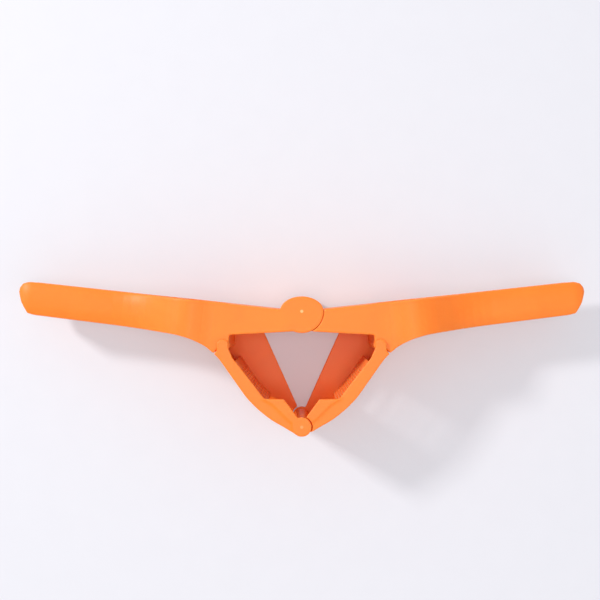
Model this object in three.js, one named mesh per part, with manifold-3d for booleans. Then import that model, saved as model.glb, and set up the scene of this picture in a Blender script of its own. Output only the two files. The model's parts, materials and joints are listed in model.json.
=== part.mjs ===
// Fold-flat citrus press: two lever arms on a main hinge and two curved jaws below them.
// The four hinge axes run along +Z, the open span along +X, and the lower hinge lies at -Y.
// The press lies on its side, with its far cheeks on Z = 0. All lengths are in millimetres.
import * as THREE from 'three';
import { mergeVertices } from 'three/addons/utils/BufferGeometryUtils.js';
import Module from 'manifold-3d';

const wasm = await Module();
wasm.setup();

// ---- driving dimensions ----
const HEAD_DEPTH = 84;            // along the hinge axes, across the jaws
const ARM_SLOPE = 6.2;            // degrees that each open arm rises above level
const CORNER_U = 63.9;            // corner hinge, along the arm from the main hinge
const CORNER_V = 35.8;            // corner hinge, down from the arm's mating face
const JAW_LENGTH = 97;            // corner hinge to lower hinge
const WALL = 3;                   // moulded wall thickness
const GAP = 0.4;                  // running clearance between pieces
const SEAT_GAP = 0.3;             // between pieces that rest against each other
const BORE_CLEARANCE = 0.3;       // round each pin in its bore
const MATING_SETBACK = 0.3;       // mating face below the plane through the main hinge
const ARM_INSET = 3.6;            // arm head lies this far inside the jaw rims, on each side
const RIM_SETBACK = 0.8;          // jaw rims lie this far inside the cheeks
const HANDLE_DEPTH = 32;          // across the handle
const HANDLE_END_U = 250;         // handle tip, along the arm
const SHOULDER_U = [84, 93];      // full-depth shoulder of the arm
const HANDLE_START_U = 166;       // where the handle reaches its own depth
const RIB_SPACING = 34;
const RIB_THICKNESS = 2.4;
const FIRST_RIB_U = 106;          // rib nearest the shoulder
const BAY_DEPTH = 25;             // depth of the handle bays below the mating face
const DISC_RADIUS = 18.7;         // main hinge disc
const DISC_TOP = 12.8;            // the disc is lower than a circle above the hinge
const DISC_THICKNESS = 8;
const BARREL_RADIUS = 9.5;        // main hinge barrels, between the discs
const KNUCKLE_RADIUS = 8.4;       // lower hinge, on the outside
const INNER_KNUCKLE_RADIUS = 7;   // lower hinge, between the cheeks
const EAR_RADIUS = 5;             // jaw end at the corner hinge
const SOCKET_RADIUS = 8.6;        // recess in the arm round the jaw end
const BOSS_RADIUS = 5.6;          // arm material round the corner pin
const MAIN_PIN_RADIUS = 3;
const PIN_RADIUS = 2.2;           // corner and lower hinge pins
const PIN_SKIN = 1.6;             // plastic left over the blind pin ends
const WASHER_RADIUS = 5.4;
const WASHER_THICKNESS = 0.7;
const WASHER_SPACE = 1.3;         // room for a washer between two pieces
const STRAINER = { from: 17, to: 63, face: 9.9, thickness: 1.6, rail: 2 };
const STRAINER_SLOT = { length: 8.6, width: 1.3, pitchZ: 11.6, pitchS: 2.6, columns: 6, rows: 13 };
const STRAINER_START = 27;        // first slot row, along the jaw from the corner hinge
const WINDOW = { start: 26, end: 59, depth: 63 };
const ARC_STEPS = 40;
const PIN_STEPS = 24;
const DISC_STEPS = 64;

// ---- outlines, in each piece's own side-view coordinates ----
// Arm: u along the mating face from the main hinge, v away from that face.
const ARM_LOWER_EDGE = [
  [240, 28], [234, 29], [112, 31.2], [102.5, 31.9], [90.8, 34.2], [79, 38.8], [71.4, 43.9],
];
const SHOULDER_BAY = [
  [66, -1], [66, 22], [73.5, 30], [78, 35.4], [90.8, 30.8], [101, 28.6],
  [FIRST_RIB_U, 28.2], [FIRST_RIB_U, -1],
];
// Jaw: s from the corner hinge towards the lower hinge, o outwards from that line.
const JAW_OUTER_EDGE = [
  [0, 10.6], [8, 10.8], [28, 13.9], [50, 16.8], [71.5, 15.2], [86, 11.4], [97.6, 8.3],
];
const JAW_RIM_EDGE = [
  [92, 1], [70, 2], [58.5, 6.4], [31, 3.3], [14, 1.6], [3, -2.5], [-3.4, 2.8], [0, 7.4],
];
const FAR_WALL_EDGE = [[97, 0], [88, -3.2], [14, -29.8], [9, -30.6], [4.6, -28], [-3.2, 1], [0, 7.2]];
const CHEEK_EDGE = [[97, 0], [88, -3.2], [69.7, -5.6], [56.2, 7.4], [65.3, 4.7], [86, 3.9], [97, 3]];

// ---- derived ----
const slope = THREE.MathUtils.degToRad(ARM_SLOPE);
const cornerX = -(CORNER_U * Math.cos(slope) + CORNER_V * Math.sin(slope));
const cornerY = CORNER_U * Math.sin(slope) - CORNER_V * Math.cos(slope);
const lowerY = cornerY - Math.sqrt(JAW_LENGTH ** 2 - cornerX ** 2);
const jawAngle = Math.atan2(lowerY - cornerY, -cornerX);
const armNear = HEAD_DEPTH - ARM_INSET;
const rimNear = HEAD_DEPTH - RIM_SETBACK;
const rimInner = HEAD_DEPTH - WALL - 0.2;
const middle = HEAD_DEPTH / 2;

const orange = new THREE.MeshStandardMaterial({ color: 0xf5742c, roughness: 0.42, metalness: 0 });
const liner = new THREE.MeshStandardMaterial({ color: 0xf0682a, roughness: 0.45, metalness: 0 });
const steel = new THREE.MeshStandardMaterial({ color: 0xc8c9cc, roughness: 0.3, metalness: 1 });
const acetal = new THREE.MeshStandardMaterial({ color: 0xf2f1ec, roughness: 0.5, metalness: 0 });

// Side-view points of the left-hand pieces, in the frame whose origin is the main hinge.
function armPoint([u, v]) {
  return new THREE.Vector2(
    -u * Math.cos(slope) - v * Math.sin(slope),
    u * Math.sin(slope) - v * Math.cos(slope),
  );
}

function jawPoint([s, o]) {
  return new THREE.Vector2(
    cornerX + s * Math.cos(jawAngle) + o * Math.sin(jawAngle),
    cornerY + s * Math.sin(jawAngle) - o * Math.cos(jawAngle),
  );
}

function smooth(points, steps) {
  return new THREE.SplineCurve(points).getPoints(steps);
}

// ---- solids ----
function toSolid(geometry) {
  const bare = geometry.index ? geometry.toNonIndexed() : geometry.clone();
  bare.deleteAttribute('normal');
  bare.deleteAttribute('uv');
  const merged = mergeVertices(bare, 1e-4);
  return new wasm.Manifold(new wasm.Mesh({
    numProp: 3,
    vertProperties: new Float32Array(merged.attributes.position.array),
    triVerts: new Uint32Array(merged.index.array),
  }));
}

function toMesh(name, solid, material) {
  const { vertProperties, triVerts } = solid.getMesh();
  const geometry = new THREE.BufferGeometry();
  geometry.setAttribute('position', new THREE.BufferAttribute(new Float32Array(vertProperties), 3));
  geometry.setIndex(new THREE.BufferAttribute(new Uint32Array(triVerts), 1));
  geometry.computeVertexNormals();
  const mesh = new THREE.Mesh(geometry, material);
  mesh.name = name;
  return mesh;
}

// A side-view outline, made solid between two heights along the hinge axes.
function slab(points, from, to) {
  const geometry = new THREE.ExtrudeGeometry(new THREE.Shape(points), {
    depth: to - from, bevelEnabled: false,
  });
  geometry.translate(0, 0, from);
  return toSolid(geometry);
}

function rod(x, y, radius, from, to, steps = ARC_STEPS) {
  const geometry = new THREE.CylinderGeometry(radius, radius, to - from, steps);
  geometry.rotateX(Math.PI / 2);
  geometry.translate(x, y, (from + to) / 2);
  return toSolid(geometry);
}

function block(x0, x1, y0, y1, z0, z1) {
  const geometry = new THREE.BoxGeometry(x1 - x0, y1 - y0, z1 - z0);
  geometry.translate((x0 + x1) / 2, (y0 + y1) / 2, (z0 + z1) / 2);
  return toSolid(geometry);
}

// The same moulding turned over about the press's upright centre line.
function turnedOver(solid) {
  return solid.rotate([0, 180, 0]).translate([0, 0, HEAD_DEPTH]);
}

// The other hand of a piece, across the press's upright centre line.
function mirrored(solid) {
  return solid.mirror([1, 0, 0]);
}

// ---- arm ----
// Half of the arm's depth at a distance along it, less an inset for the inside of its walls.
function halfDepths(inset) {
  const flare = new THREE.CubicBezierCurve(
    new THREE.Vector2(SHOULDER_U[1], middle),
    new THREE.Vector2(SHOULDER_U[1] + 26, middle),
    new THREE.Vector2(SHOULDER_U[1] + 34, HANDLE_DEPTH / 2 + 2),
    new THREE.Vector2(HANDLE_START_U, HANDLE_DEPTH / 2),
  ).getPoints(12);
  const tip = [];
  for (let step = 1; step <= 8; step += 1) {
    const angle = (step / 8) * (Math.PI / 2);
    const reach = 14;
    tip.push(new THREE.Vector2(
      HANDLE_END_U + 0.6 - reach + reach * Math.sin(angle),
      HANDLE_DEPTH / 2 - 7 + 7 * Math.cos(angle),
    ));
  }
  const head = new THREE.Vector2(-30, armNear - middle);
  const rampFoot = new THREE.Vector2(SHOULDER_U[0] - 11, armNear - middle);
  const rampTop = new THREE.Vector2(SHOULDER_U[0], middle);
  return [head, rampFoot, rampTop, ...flare, ...tip]
    .map((point) => new THREE.Vector2(point.x, point.y - inset));
}

// The arm's outline seen square to its mating face, as a solid in the press's frame.
function armPlan(inset) {
  const upper = halfDepths(inset);
  const lower = upper.map((point) => new THREE.Vector2(point.x, -point.y)).reverse();
  const geometry = new THREE.ExtrudeGeometry(new THREE.Shape([...upper, ...lower]), {
    depth: 120, bevelEnabled: false,
  });
  geometry.translate(0, 0, -60);
  geometry.rotateX(Math.PI / 2);
  geometry.rotateY(Math.PI);
  geometry.rotateZ(-slope);
  geometry.translate(0, 0, middle);
  return toSolid(geometry);
}

function armOutline() {
  const tip = [
    [6, MATING_SETBACK], [HANDLE_END_U - 9, MATING_SETBACK], [HANDLE_END_U - 3.4, 2.2],
    [HANDLE_END_U - 0.6, 6], [HANDLE_END_U, 10], [HANDLE_END_U - 3.8, 19],
  ];
  const flare = smooth(ARM_LOWER_EDGE.slice(2).map(armPoint), 12);
  const boss = [];
  for (let angle = 218; angle <= 395; angle += 12) {
    const turn = THREE.MathUtils.degToRad(angle);
    boss.push(new THREE.Vector2(
      cornerX + BOSS_RADIUS * Math.cos(turn),
      cornerY + BOSS_RADIUS * Math.sin(turn),
    ));
  }
  const roof = [[59.6, 26.8], [25.4, 21.3], [6, 18]].map(armPoint);
  return [...tip.map(armPoint), ...ARM_LOWER_EDGE.slice(0, 2).map(armPoint), ...flare, ...boss, ...roof];
}

function discOutline() {
  const points = [];
  for (let step = 0; step < DISC_STEPS; step += 1) {
    const angle = (step / DISC_STEPS) * 2 * Math.PI;
    const height = Math.sin(angle) > 0 ? DISC_TOP : DISC_RADIUS;
    points.push(new THREE.Vector2(DISC_RADIUS * Math.cos(angle), height * Math.sin(angle)));
  }
  return points;
}

function handleBays() {
  const inside = armPlan(WALL);
  let bays = slab(SHOULDER_BAY.map(armPoint), 0, HEAD_DEPTH);
  for (let start = FIRST_RIB_U + RIB_THICKNESS; start + 20 < HANDLE_END_U; start += RIB_SPACING) {
    const end = Math.min(start + RIB_SPACING - RIB_THICKNESS, HANDLE_END_U - 9);
    const bay = [[start, -1], [start, BAY_DEPTH + 2.2], [end, BAY_DEPTH], [end, -1]];
    bays = bays.add(slab(bay.map(armPoint), 0, HEAD_DEPTH));
  }
  return bays.intersect(inside);
}

function makeArm() {
  const outer = slab(armOutline(), 0, HEAD_DEPTH).intersect(armPlan(0));
  const headRoom = slab(
    [[13, MATING_SETBACK + WALL], [61, MATING_SETBACK + WALL], [61, 24], [54, 34], [13, 34]].map(armPoint),
    ARM_INSET + WALL, armNear - WALL,
  );
  let arm = outer.subtract(headRoom).subtract(handleBays());
  const farDiscRoom = [ARM_INSET - 1, ARM_INSET + DISC_THICKNESS + GAP];
  arm = arm.subtract(rod(0, 0, DISC_RADIUS + GAP, ...farDiscRoom, DISC_STEPS));
  arm = arm.add(slab(discOutline(), armNear - DISC_THICKNESS, armNear));
  const nearBarrel = [middle + WASHER_SPACE / 2, armNear - DISC_THICKNESS - WASHER_SPACE];
  const farBarrel = [HEAD_DEPTH - nearBarrel[1], HEAD_DEPTH - nearBarrel[0]];
  const otherRoom = [nearBarrel[0] - WASHER_SPACE, armNear - DISC_THICKNESS];
  const otherBarrel = rod(0, 0, BARREL_RADIUS + GAP, ...otherRoom);
  arm = arm.subtract(otherBarrel).add(rod(0, 0, BARREL_RADIUS, farBarrel[0], farBarrel[1]));
  arm = arm.subtract(rod(0, 0, MAIN_PIN_RADIUS + BORE_CLEARANCE, farBarrel[0] - 1, armNear - 2 * PIN_SKIN));
  for (const [from, to] of [[-1, ARM_INSET - 0.1], [armNear + 0.1, HEAD_DEPTH + 1]]) {
    arm = arm.subtract(rod(cornerX, cornerY, SOCKET_RADIUS, from, to));
  }
  return arm.subtract(rod(cornerX, cornerY, PIN_RADIUS + BORE_CLEARANCE, -1, HEAD_DEPTH + 1, PIN_STEPS));
}

// ---- jaw ----
function jawOuterCurve(offset) {
  const points = JAW_OUTER_EDGE.map(([s, o]) => jawPoint([s, o - offset]));
  return smooth(points, 26);
}

// The jaw's side rim: outer edge, then back along the inner edge to the corner hinge.
function rimOutline() {
  return [...jawOuterCurve(0), ...JAW_RIM_EDGE.map(jawPoint)];
}

// Everything inside the curved outer plate, between the side rims.
function pocketOutline() {
  return [jawPoint([-9, 7.6]), ...jawOuterCurve(WALL), ...[[104, -30], [-9, -30]].map(jawPoint)];
}

function plateOutline() {
  return [...jawOuterCurve(0), ...jawOuterCurve(WALL).reverse()];
}

// Inner knuckles of the lower hinge, as the heights of the left jaw's own ones.
function knuckleHeights() {
  const span = (HEAD_DEPTH - 2 * ARM_INSET - 2 * WASHER_SPACE - 3 * GAP) / 4;
  const far = ARM_INSET + WASHER_SPACE;
  return [[far, far + span], [far + 2 * (span + GAP), far + 3 * span + 2 * GAP]];
}

// The far side is a full wall, and the near side is cut low to let the fruit in.
function farWallOutline() {
  return [...jawOuterCurve(0.2), ...FAR_WALL_EDGE.map(jawPoint)];
}

// Built as the left jaw. The right one is its mirror image, apart from which knuckles it owns.
function makeJaw(side) {
  const left = side === 'left';
  const farInner = HEAD_DEPTH - rimInner;
  const pocket = slab(pocketOutline(), farInner, rimInner);
  const shell = slab(rimOutline(), RIM_SETBACK, rimNear).subtract(pocket);
  const farWall = slab(farWallOutline(), 0, farInner);
  const cheek = slab(CHEEK_EDGE.map(jawPoint), rimInner, HEAD_DEPTH);
  let jaw = shell.add(farWall).add(cheek);
  for (const [from, to] of [[RIM_SETBACK, farInner], [rimInner, rimNear]]) {
    jaw = jaw.add(rod(cornerX, cornerY, EAR_RADIUS, from, to));
  }
  const room = left ? [-1, rimInner - 0.05] : [farInner + 0.05, HEAD_DEPTH + 1];
  const outerKnuckle = left ? [rimInner, HEAD_DEPTH] : [0, farInner];
  jaw = jaw.subtract(rod(0, lowerY, KNUCKLE_RADIUS + 2 * GAP, ...room));
  jaw = jaw.add(rod(0, lowerY, KNUCKLE_RADIUS, ...outerKnuckle));
  const plate = slab(plateOutline(), RIM_SETBACK, rimNear);
  for (const [from, to] of left ? knuckleHeights() : knuckleHeights().map(turnedHeights)) {
    const level = block(-60, 60, lowerY - 30, lowerY + 30, from, to);
    jaw = jaw.add(plate.intersect(level)).add(rod(0, lowerY, INNER_KNUCKLE_RADIUS, from, to));
  }
  jaw = jaw.subtract(drainWindow());
  const pinHeights = left ? [-1, HEAD_DEPTH - PIN_SKIN] : [PIN_SKIN, HEAD_DEPTH + 1];
  const boreRadius = PIN_RADIUS + BORE_CLEARANCE;
  const pinBore = rod(0, lowerY, boreRadius, ...pinHeights, PIN_STEPS);
  const cornerBore = rod(cornerX, cornerY, boreRadius, PIN_SKIN, HEAD_DEPTH - PIN_SKIN, PIN_STEPS);
  jaw = jaw.subtract(pinBore).subtract(cornerBore);
  return left ? jaw : openKnuckles(mirrored(jaw));
}

function turnedHeights([from, to]) {
  return [HEAD_DEPTH - to, HEAD_DEPTH - from];
}

function drainWindow() {
  const half = WINDOW.depth / 2;
  const outline = [[WINDOW.start, 8], [WINDOW.start, 22], [WINDOW.end, 22], [WINDOW.end, 8]];
  return slab(outline.map(jawPoint), middle - half, middle + half);
}

// The right jaw's lower knuckles are open on the side where the pin swings out and back.
function openKnuckles(jaw) {
  const reach = 13;
  const width = PIN_RADIUS + GAP;
  const mouth = [[0, -width], [-reach, -width], [-reach, width + 0.42 * reach], [0, width]]
    .map(([x, y]) => new THREE.Vector2(x, lowerY + y));
  return jaw.subtract(slab(mouth, PIN_SKIN, HEAD_DEPTH + 1));
}

// Side-view points of the strainer at a depth below the jaw's outer curve.
function strainerCurve(depth) {
  const curve = new THREE.SplineCurve(JAW_OUTER_EDGE.map(([s, o]) => new THREE.Vector2(s, o - depth)));
  const inside = curve.getPoints(60).filter((point) => point.x >= STRAINER.from && point.x <= STRAINER.to);
  return inside.map((point) => jawPoint([point.x, point.y]));
}

// A slotted panel level with the jaw's rims, on two side rails that stand on the jaw's outer plate.
function makeStrainer() {
  const half = middle - (HEAD_DEPTH - rimInner) - SEAT_GAP;
  const outline = (from, to) => [...strainerCurve(from), ...strainerCurve(to).reverse()];
  const back = STRAINER.face - STRAINER.thickness;
  let panel = slab(outline(back, STRAINER.face), middle - half, middle + half);
  for (const start of [middle - half, middle + half - STRAINER.rail]) {
    panel = panel.add(slab(outline(WALL + SEAT_GAP, back + 0.8), start, start + STRAINER.rail));
  }
  const { length, width, pitchZ, pitchS, columns, rows } = STRAINER_SLOT;
  for (let row = 0; row < rows; row += 1) {
    const s = STRAINER_START + row * pitchS;
    for (let column = 0; column < columns; column += 1) {
      const z = middle + (column - (columns - 1) / 2) * pitchZ;
      const slot = [[s, 0], [s, 22], [s + width, 22], [s + width, 0]].map(jawPoint);
      panel = panel.subtract(slab(slot, z - length / 2, z + length / 2));
    }
  }
  return panel;
}

// ---- pins and washers ----
function washer(x, y, bore, from) {
  const start = from + (WASHER_SPACE - WASHER_THICKNESS) / 2;
  const end = start + WASHER_THICKNESS;
  const ring = rod(x, y, WASHER_RADIUS, start, end, PIN_STEPS);
  return ring.subtract(rod(x, y, bore + BORE_CLEARANCE, start - 1, end + 1, PIN_STEPS));
}

function makePress() {
  const press = new THREE.Group();
  const arm = makeArm();
  const strainer = makeStrainer();
  press.add(toMesh('left_arm', arm, orange));
  press.add(toMesh('right_arm', turnedOver(arm), orange));
  press.add(toMesh('left_press_jaw', makeJaw('left'), orange));
  press.add(toMesh('right_press_jaw', makeJaw('right'), orange));
  press.add(toMesh('left_strainer_panel', strainer, liner));
  press.add(toMesh('right_strainer_panel', mirrored(strainer), liner));

  const mainEnd = armNear - 2 * PIN_SKIN - SEAT_GAP;
  press.add(toMesh('main_hinge_pin', rod(0, 0, MAIN_PIN_RADIUS, HEAD_DEPTH - mainEnd, mainEnd, 32), steel));
  const pinEnd = HEAD_DEPTH - PIN_SKIN - SEAT_GAP;
  const pinAt = (x, y) => rod(x, y, PIN_RADIUS, HEAD_DEPTH - pinEnd, pinEnd, PIN_STEPS);
  for (const [side, x] of [['left', cornerX], ['right', -cornerX]]) {
    press.add(toMesh(`${side}_corner_pin`, pinAt(x, cornerY), steel));
  }
  press.add(toMesh('lower_hinge_pin', pinAt(0, lowerY), steel));

  const discFace = armNear - DISC_THICKNESS - WASHER_SPACE;
  const mainWashers = {
    near: discFace,
    middle: middle - WASHER_SPACE / 2,
    far: HEAD_DEPTH - discFace - WASHER_SPACE,
  };
  for (const [place, height] of Object.entries(mainWashers)) {
    press.add(toMesh(`main_hinge_washer_${place}`, washer(0, 0, MAIN_PIN_RADIUS, height), acetal));
  }
  const [farKnuckle] = knuckleHeights();
  const lowerWashers = { near: HEAD_DEPTH - farKnuckle[0], far: farKnuckle[0] - WASHER_SPACE };
  for (const [place, height] of Object.entries(lowerWashers)) {
    press.add(toMesh(`lower_hinge_washer_${place}`, washer(0, lowerY, PIN_RADIUS, height), acetal));
  }
  press.position.y = -(lowerY - KNUCKLE_RADIUS + armTop()) / 2;
  const object = new THREE.Group();
  object.add(press);
  return object;
}

// Height of the handle tips above the main hinge.
function armTop() {
  return Math.max(...armOutline().map((point) => point.y));
}

export default makePress();
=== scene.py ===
# The looks of a fold-flat citrus press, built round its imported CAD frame.
# Metres, +Z up from the surface that it lies on, +Y from the lower hinge to the main hinge.
import json
import math

import bpy
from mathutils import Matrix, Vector


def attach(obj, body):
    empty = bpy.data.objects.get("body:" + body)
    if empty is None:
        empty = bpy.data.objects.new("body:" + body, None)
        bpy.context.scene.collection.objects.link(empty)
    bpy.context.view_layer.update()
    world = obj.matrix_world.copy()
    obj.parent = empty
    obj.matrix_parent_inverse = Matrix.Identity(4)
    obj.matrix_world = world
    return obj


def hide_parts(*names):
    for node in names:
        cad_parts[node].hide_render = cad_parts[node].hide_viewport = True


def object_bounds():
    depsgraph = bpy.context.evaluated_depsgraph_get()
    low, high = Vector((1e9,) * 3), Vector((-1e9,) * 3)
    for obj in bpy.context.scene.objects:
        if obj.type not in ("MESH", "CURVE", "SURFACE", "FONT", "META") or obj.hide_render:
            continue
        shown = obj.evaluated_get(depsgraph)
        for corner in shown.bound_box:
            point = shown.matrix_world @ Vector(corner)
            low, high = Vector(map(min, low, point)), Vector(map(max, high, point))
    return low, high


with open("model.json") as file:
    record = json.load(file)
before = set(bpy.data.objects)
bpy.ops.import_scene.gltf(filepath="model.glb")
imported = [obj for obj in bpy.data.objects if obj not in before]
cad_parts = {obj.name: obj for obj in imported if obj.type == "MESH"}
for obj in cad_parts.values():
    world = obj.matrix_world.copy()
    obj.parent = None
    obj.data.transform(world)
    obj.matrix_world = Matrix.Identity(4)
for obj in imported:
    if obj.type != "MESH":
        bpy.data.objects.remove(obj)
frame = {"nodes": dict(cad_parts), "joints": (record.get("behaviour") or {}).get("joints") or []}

MM = 0.001
CAD_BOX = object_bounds()

# ---- dimensions, in metres ----
MAIN_HINGE = Vector(next(j for j in frame["joints"] if j["name"] == "main_fold")["pos_m"])
ARM_SLOPE = math.radians(6.2)
HEAD_DEPTH = CAD_BOX[1][2] - CAD_BOX[0][2]
LOWER_HINGE_Y = -0.0578923
HEAD_INSET = 3.6 * MM              # the arms' heads and hinge discs lie this far inside the jaws' cheeks
MOULDED_VOXEL = 0.8 * MM
EDGE_SMOOTHING = 5
HINGE_SPOT_RADIUS = 1.3 * MM             # the plastic is paler in a small ball of this radius round each hinge centre

# ---- arm shape, along the arm from the main hinge or out from mid-depth ----
RAMP_START = 73 * MM               # the CAD's straight ramp up to the shoulder
RAMP_LENGTH = 11 * MM
EASED_RAMP_END = 97 * MM
RAMP_DEPTHS = (30 * MM, 40 * MM)   # only the near and far faces are eased
CROWN_START = 105 * MM
CROWN_FULL = 165 * MM
HANDLE_CROWN = 3.2 * MM
HANDLE_HALF_THICKNESS = 14.5 * MM
CROWN_HALF_DEPTH = 18 * MM
CROWN_LIMIT = 1.3
CROWN_POWER = 2.6

# ---- view ----
CAMERA_DISTANCE = 0.80
CAMERA_FOCUS = Vector((-0.0015, 0.0502, 0.084))
SENSOR = 36.0
LENS = 56.5
FLOOR_SIZE = 8.0


# ---- materials ----
def new_material(name):
    material = bpy.data.materials.new(name)
    material.use_nodes = True
    tree = material.node_tree
    return material, tree, tree.nodes["Principled BSDF"]


def add(tree, kind, **values):
    node = tree.nodes.new(kind)
    for key, value in values.items():
        if key in node.inputs:
            node.inputs[key].default_value = value
        else:
            setattr(node, key, value)
    return node


def ramp(tree, source, low, high, dark, light):
    node = tree.nodes.new("ShaderNodeValToRGB")
    node.color_ramp.elements[0].position = low
    node.color_ramp.elements[0].color = dark
    node.color_ramp.elements[1].position = high
    node.color_ramp.elements[1].color = light
    tree.links.new(source, node.inputs["Fac"])
    return node


def grey(value):
    return (value, value, value, 1.0)


def near_point(tree, place, point, radius):
    """1 inside a small ball round a point of the piece, and 0 outside it."""
    distance = add(tree, "ShaderNodeVectorMath", operation="DISTANCE")
    tree.links.new(place.outputs["Object"], distance.inputs[0])
    distance.inputs[1].default_value = point
    spot = add(tree, "ShaderNodeMapRange")
    tree.links.new(distance.outputs["Value"], spot.inputs["Value"])
    spot.inputs["From Min"].default_value = radius * 1.15
    spot.inputs["From Max"].default_value = radius * 0.85
    return spot.outputs["Result"]


def moulded_plastic(name, body, deep, edge, roughness, hinge_spots):
    """Glass-filled nylon: faint flow clouding, fine grain, paler rubbed edges and a little light inside it.
    The hinge spots make the plastic paler in a small ball round each hinge centre."""
    material, tree, shader = new_material(name)
    link = tree.links.new
    place = add(tree, "ShaderNodeTexCoord")
    flow = add(tree, "ShaderNodeTexNoise", Scale=26.0, Detail=4.0, Roughness=0.55, Distortion=0.6)
    link(place.outputs["Object"], flow.inputs["Vector"])
    clouds = ramp(tree, flow.outputs["Fac"], 0.3, 0.72, deep, body)
    wear = add(tree, "ShaderNodeNewGeometry")
    rubbed = ramp(tree, wear.outputs["Pointiness"], 0.515, 0.60, grey(0.0), grey(1.0))
    scuffs = add(tree, "ShaderNodeTexNoise", Scale=420.0, Detail=3.0)
    link(place.outputs["Object"], scuffs.inputs["Vector"])
    broken = add(tree, "ShaderNodeMath", operation="MULTIPLY")
    link(rubbed.outputs["Color"], broken.inputs[0])
    link(scuffs.outputs["Fac"], broken.inputs[1])
    colour = add(tree, "ShaderNodeMix", data_type="RGBA")
    link(broken.outputs[0], colour.inputs[0])
    link(clouds.outputs["Color"], colour.inputs[6])
    colour.inputs[7].default_value = edge
    tint = colour.outputs[2]
    for point, strength in hinge_spots:
        paler = add(tree, "ShaderNodeMix", data_type="RGBA")
        amount = add(tree, "ShaderNodeMath", operation="MULTIPLY")
        link(near_point(tree, place, point, HINGE_SPOT_RADIUS), amount.inputs[0])
        amount.inputs[1].default_value = strength
        link(amount.outputs[0], paler.inputs[0])
        link(tint, paler.inputs[6])
        paler.inputs[7].default_value = (0.95, 0.50, 0.20, 1)
        tint = paler.outputs[2]
    link(tint, shader.inputs["Base Color"])
    grain = add(tree, "ShaderNodeTexNoise", Scale=1500.0, Detail=2.0)
    link(place.outputs["Object"], grain.inputs["Vector"])
    gloss = add(tree, "ShaderNodeMapRange")
    link(flow.outputs["Fac"], gloss.inputs["Value"])
    gloss.inputs["To Min"].default_value = roughness - 0.05
    gloss.inputs["To Max"].default_value = roughness + 0.06
    link(gloss.outputs["Result"], shader.inputs["Roughness"])
    bump = add(tree, "ShaderNodeBump", Strength=0.10, Distance=0.0002)
    link(grain.outputs["Fac"], bump.inputs["Height"])
    link(bump.outputs["Normal"], shader.inputs["Normal"])
    shader.inputs["Subsurface Weight"].default_value = 0.15
    shader.inputs["Specular IOR Level"].default_value = 0.32
    shader.inputs["Subsurface Radius"].default_value = (1.0, 0.25, 0.05)
    shader.inputs["Subsurface Scale"].default_value = 0.007
    shader.inputs["IOR"].default_value = 1.5
    return material


def ground_steel():
    material, tree, shader = new_material("pin_steel")
    link = tree.links.new
    place = add(tree, "ShaderNodeTexCoord")
    stretch = add(tree, "ShaderNodeMapping", Scale=(900.0, 900.0, 60.0))
    lines = add(tree, "ShaderNodeTexNoise", Scale=1.0, Detail=3.0)
    link(place.outputs["Object"], stretch.inputs["Vector"])
    link(stretch.outputs["Vector"], lines.inputs["Vector"])
    tint = ramp(tree, lines.outputs["Fac"], 0.35, 0.7, (0.48, 0.49, 0.5, 1.0), (0.68, 0.69, 0.7, 1.0))
    link(tint.outputs["Color"], shader.inputs["Base Color"])
    bump = add(tree, "ShaderNodeBump", Strength=0.15, Distance=0.0001)
    link(lines.outputs["Fac"], bump.inputs["Height"])
    link(bump.outputs["Normal"], shader.inputs["Normal"])
    shader.inputs["Metallic"].default_value = 1.0
    shader.inputs["Roughness"].default_value = 0.28
    return material


def natural_acetal():
    material, tree, shader = new_material("washer_plastic")
    link = tree.links.new
    place = add(tree, "ShaderNodeTexCoord")
    mottle = add(tree, "ShaderNodeTexNoise", Scale=300.0, Detail=3.0)
    link(place.outputs["Object"], mottle.inputs["Vector"])
    tint = ramp(tree, mottle.outputs["Fac"], 0.3, 0.7, (0.76, 0.75, 0.7, 1.0), (0.86, 0.85, 0.81, 1.0))
    link(tint.outputs["Color"], shader.inputs["Base Color"])
    shader.inputs["Roughness"].default_value = 0.48
    return material


# Paler spots round the hinge centres, stronger on the arms than on the jaws.
ARM_HINGE_SPOTS = [((0.0, MAIN_HINGE.y, HEAD_DEPTH - HEAD_INSET), 0.9), ((0.0, MAIN_HINGE.y, HEAD_INSET), 0.9)]
JAW_HINGE_SPOTS = [((0.0, LOWER_HINGE_Y, HEAD_DEPTH), 0.45), ((0.0, LOWER_HINGE_Y, 0.0), 0.45)]
ARM_PLASTIC = moulded_plastic(
    "arm_plastic", (0.99, 0.228, 0.021, 1), (0.95, 0.204, 0.016, 1), (1.0, 0.40, 0.12, 1), 0.45, ARM_HINGE_SPOTS)
JAW_PLASTIC = moulded_plastic(
    "jaw_plastic", (0.99, 0.218, 0.019, 1), (0.95, 0.195, 0.014, 1), (1.0, 0.40, 0.12, 1), 0.40, JAW_HINGE_SPOTS)
# The strainer's plastic is a little darker and redder than the jaws': painted shade for the deep pocket it
# lines.
STRAINER_PLASTIC = moulded_plastic(
    "strainer_plastic", (0.98, 0.20, 0.02, 1), (0.93, 0.17, 0.014, 1), (1.0, 0.38, 0.11, 1), 0.40, [])
PIN_STEEL = ground_steel()
WASHER_PLASTIC = natural_acetal()


# ---- moulded pieces ----
def copy_of(node, name):
    piece = bpy.data.objects.new(name, frame["nodes"][node].data.copy())
    bpy.context.scene.collection.objects.link(piece)
    return piece


def apply_modifiers(piece):
    bpy.context.view_layer.update()
    graph = bpy.context.evaluated_depsgraph_get()
    mesh = bpy.data.meshes.new_from_object(piece.evaluated_get(graph))
    piece.modifiers.clear()
    piece.data = mesh


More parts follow.
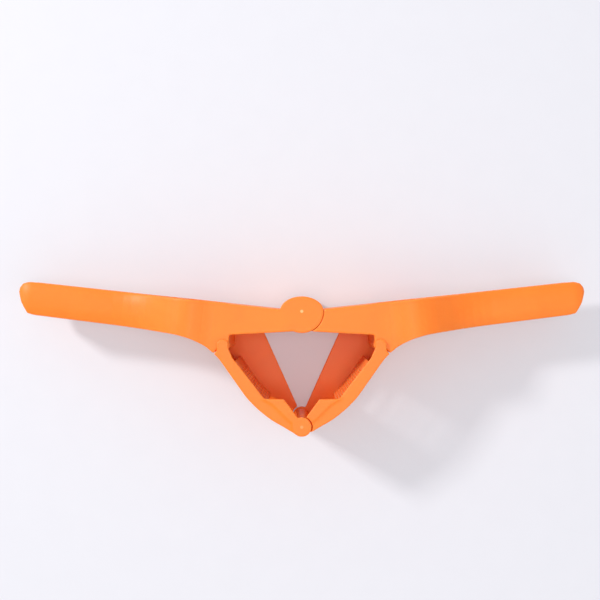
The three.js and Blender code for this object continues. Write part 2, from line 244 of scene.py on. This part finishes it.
def soften(piece, voxel, steps):
    """Turns a sharp solid into a moulding with small radii on every edge."""
    weld = piece.modifiers.new("weld", "WELD")
    weld.merge_threshold = 1e-6
    grid = piece.modifiers.new("grid", "REMESH")
    grid.mode = "VOXEL"
    grid.voxel_size = voxel
    relax = piece.modifiers.new("relax", "SMOOTH")
    relax.factor = 0.5
    relax.iterations = steps
    apply_modifiers(piece)
    for polygon in piece.data.polygons:
        polygon.use_smooth = True


def finish_piece(piece, material, slot, body, *nodes):
    piece.data.materials.clear()
    piece.data.materials.append(material)
    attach(piece, body)
    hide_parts(*nodes)
    return piece


def arm_place(co, side):
    """(along, down) of a point in an arm's own side view; side is -1 for the left arm and 1 for the right."""
    x = (co.x - MAIN_HINGE.x) * side
    y = co.y - MAIN_HINGE.y
    along = x * math.cos(ARM_SLOPE) + y * math.sin(ARM_SLOPE)
    down = x * math.sin(ARM_SLOPE) - y * math.cos(ARM_SLOPE)
    return along, down


def ease(value, start, end):
    t = min(1.0, max(0.0, (value - start) / (end - start)))
    return t * t * (3.0 - 2.0 * t)


def shape_arm(piece, side):
    """Eases the shoulder's ramp, and rounds the broad faces of the handle across its thickness."""
    middle = MAIN_HINGE.z
    for vertex in piece.data.vertices:
        along, down = arm_place(vertex.co, side)
        half = abs(vertex.co.z - middle)
        straight = min(1.0, max(0.0, (along - RAMP_START) / RAMP_LENGTH))
        eased = ease(along, RAMP_START, EASED_RAMP_END)
        lowered = HEAD_INSET * (straight - eased) * ease(half, *RAMP_DEPTHS)
        across = abs(down - HANDLE_HALF_THICKNESS) / HANDLE_HALF_THICKNESS
        crown = HANDLE_CROWN * ease(along, CROWN_START, CROWN_FULL) * min(CROWN_LIMIT, across) ** CROWN_POWER
        new_half = half - lowered - crown * min(1.0, half / CROWN_HALF_DEPTH)
        vertex.co.z = middle + math.copysign(new_half, vertex.co.z - middle)


def make_arm(name, side):
    piece = copy_of(name, f"{name}_moulding")
    soften(piece, MOULDED_VOXEL, EDGE_SMOOTHING)
    shape_arm(piece, side)
    finish_piece(piece, ARM_PLASTIC, "arm_plastic", name, name)


def make_jaw(side):
    piece = copy_of(f"{side}_press_jaw", f"{side}_jaw_moulding")
    soften(piece, MOULDED_VOXEL, EDGE_SMOOTHING)
    finish_piece(piece, JAW_PLASTIC, "jaw_plastic", f"{side}_jaw", f"{side}_press_jaw")


def bevelled(node, name, width):
    piece = copy_of(node, name)
    weld = piece.modifiers.new("weld", "WELD")
    weld.merge_threshold = 1e-6
    flat = piece.modifiers.new("flat", "DECIMATE")
    flat.decimate_type = "DISSOLVE"
    flat.angle_limit = math.radians(0.5)
    bevel = piece.modifiers.new("bevel", "BEVEL")
    bevel.width = width
    bevel.segments = 2
    bevel.limit_method = "ANGLE"
    bevel.angle_limit = math.radians(40)
    apply_modifiers(piece)
    return piece


def make_strainer(side):
    node = f"{side}_strainer_panel"
    piece = bevelled(node, f"{side}_strainer_liner", 0.25 * MM)
    finish_piece(piece, STRAINER_PLASTIC, "strainer_plastic", f"{side}_jaw", node)


def make_pins():
    bodies = {"main_hinge_pin": "left_arm", "left_corner_pin": "left_arm",
              "right_corner_pin": "right_arm", "lower_hinge_pin": "left_jaw"}
    for node, body in bodies.items():
        piece = bevelled(node, f"{node}_ground", 0.4 * MM)
        finish_piece(piece, PIN_STEEL, "pin_steel", body, node)


def dress_washers():
    for node, obj in frame["nodes"].items():
        if "washer" in node:
            obj.data.materials.clear()
            obj.data.materials.append(WASHER_PLASTIC)


make_arm("left_arm", -1)
make_arm("right_arm", 1)
make_jaw("left")
make_jaw("right")
make_strainer("left")
make_strainer("right")
make_pins()
dress_washers()


# ---- floor, light and camera ----
def make_floor():
    bpy.ops.mesh.primitive_plane_add(size=FLOOR_SIZE, location=(0, 0, 0))
    floor = bpy.context.object
    floor.name = "floor"
    material, tree, shader = new_material("floor_white")
    speck = add(tree, "ShaderNodeTexNoise", Scale=40.0)
    place = add(tree, "ShaderNodeTexCoord")
    tree.links.new(place.outputs["Object"], speck.inputs["Vector"])
    tint = ramp(tree, speck.outputs["Fac"], 0.2, 0.8, (0.575, 0.575, 0.615, 1.0), (0.585, 0.585, 0.625, 1.0))
    tree.links.new(tint.outputs["Color"], shader.inputs["Base Color"])
    shader.inputs["Roughness"].default_value = 0.9
    shader.inputs["Specular IOR Level"].default_value = 0.1
    shader.inputs["Emission Color"].default_value = (0.96, 0.96, 1.0, 1.0)
    shader.inputs["Emission Strength"].default_value = 0.17
    floor.data.materials.append(material)


def area_light(name, place, target, size, power, colour=(1, 1, 1)):
    data = bpy.data.lights.new(name, "AREA")
    data.size = size
    data.energy = power
    data.color = colour
    light = bpy.data.objects.new(name, data)
    bpy.context.scene.collection.objects.link(light)
    light.location = place
    light.rotation_euler = (Vector(target) - Vector(place)).to_track_quat("-Z", "Y").to_euler()


def make_light():
    world = bpy.data.worlds.new("studio")
    world.use_nodes = True
    world.node_tree.nodes["Background"].inputs["Color"].default_value = (0.975, 0.975, 1.0, 1.0)
    world.node_tree.nodes["Background"].inputs["Strength"].default_value = 0.70
    bpy.context.scene.world = world
    bpy.context.scene.view_settings.view_transform = "Standard"
    area_light("key", (-1.90, 1.16, 1.58), (0, 0, 0.03), 0.34, 44.0, (1.0, 0.985, 0.96))
    area_light("fill", (0.9, -0.7, 1.3), (0, 0, 0.0), 1.2, 3.0)
    area_light("overhead", (0.0, 0.0, 1.6), (0, 0, 0.0), 0.5, 5.0)


def make_camera():
    data = bpy.data.cameras.new("camera")
    data.sensor_width = SENSOR
    data.lens = LENS
    data.clip_start = 0.01
    camera = bpy.data.objects.new("camera", data)
    bpy.context.scene.collection.objects.link(camera)
    camera.location = CAMERA_FOCUS + Vector((0, 0, CAMERA_DISTANCE))
    camera.rotation_euler = (0, 0, 0)
    bpy.context.scene.camera = camera


make_floor()
make_light()
make_camera()

bpy.context.view_layer.update()
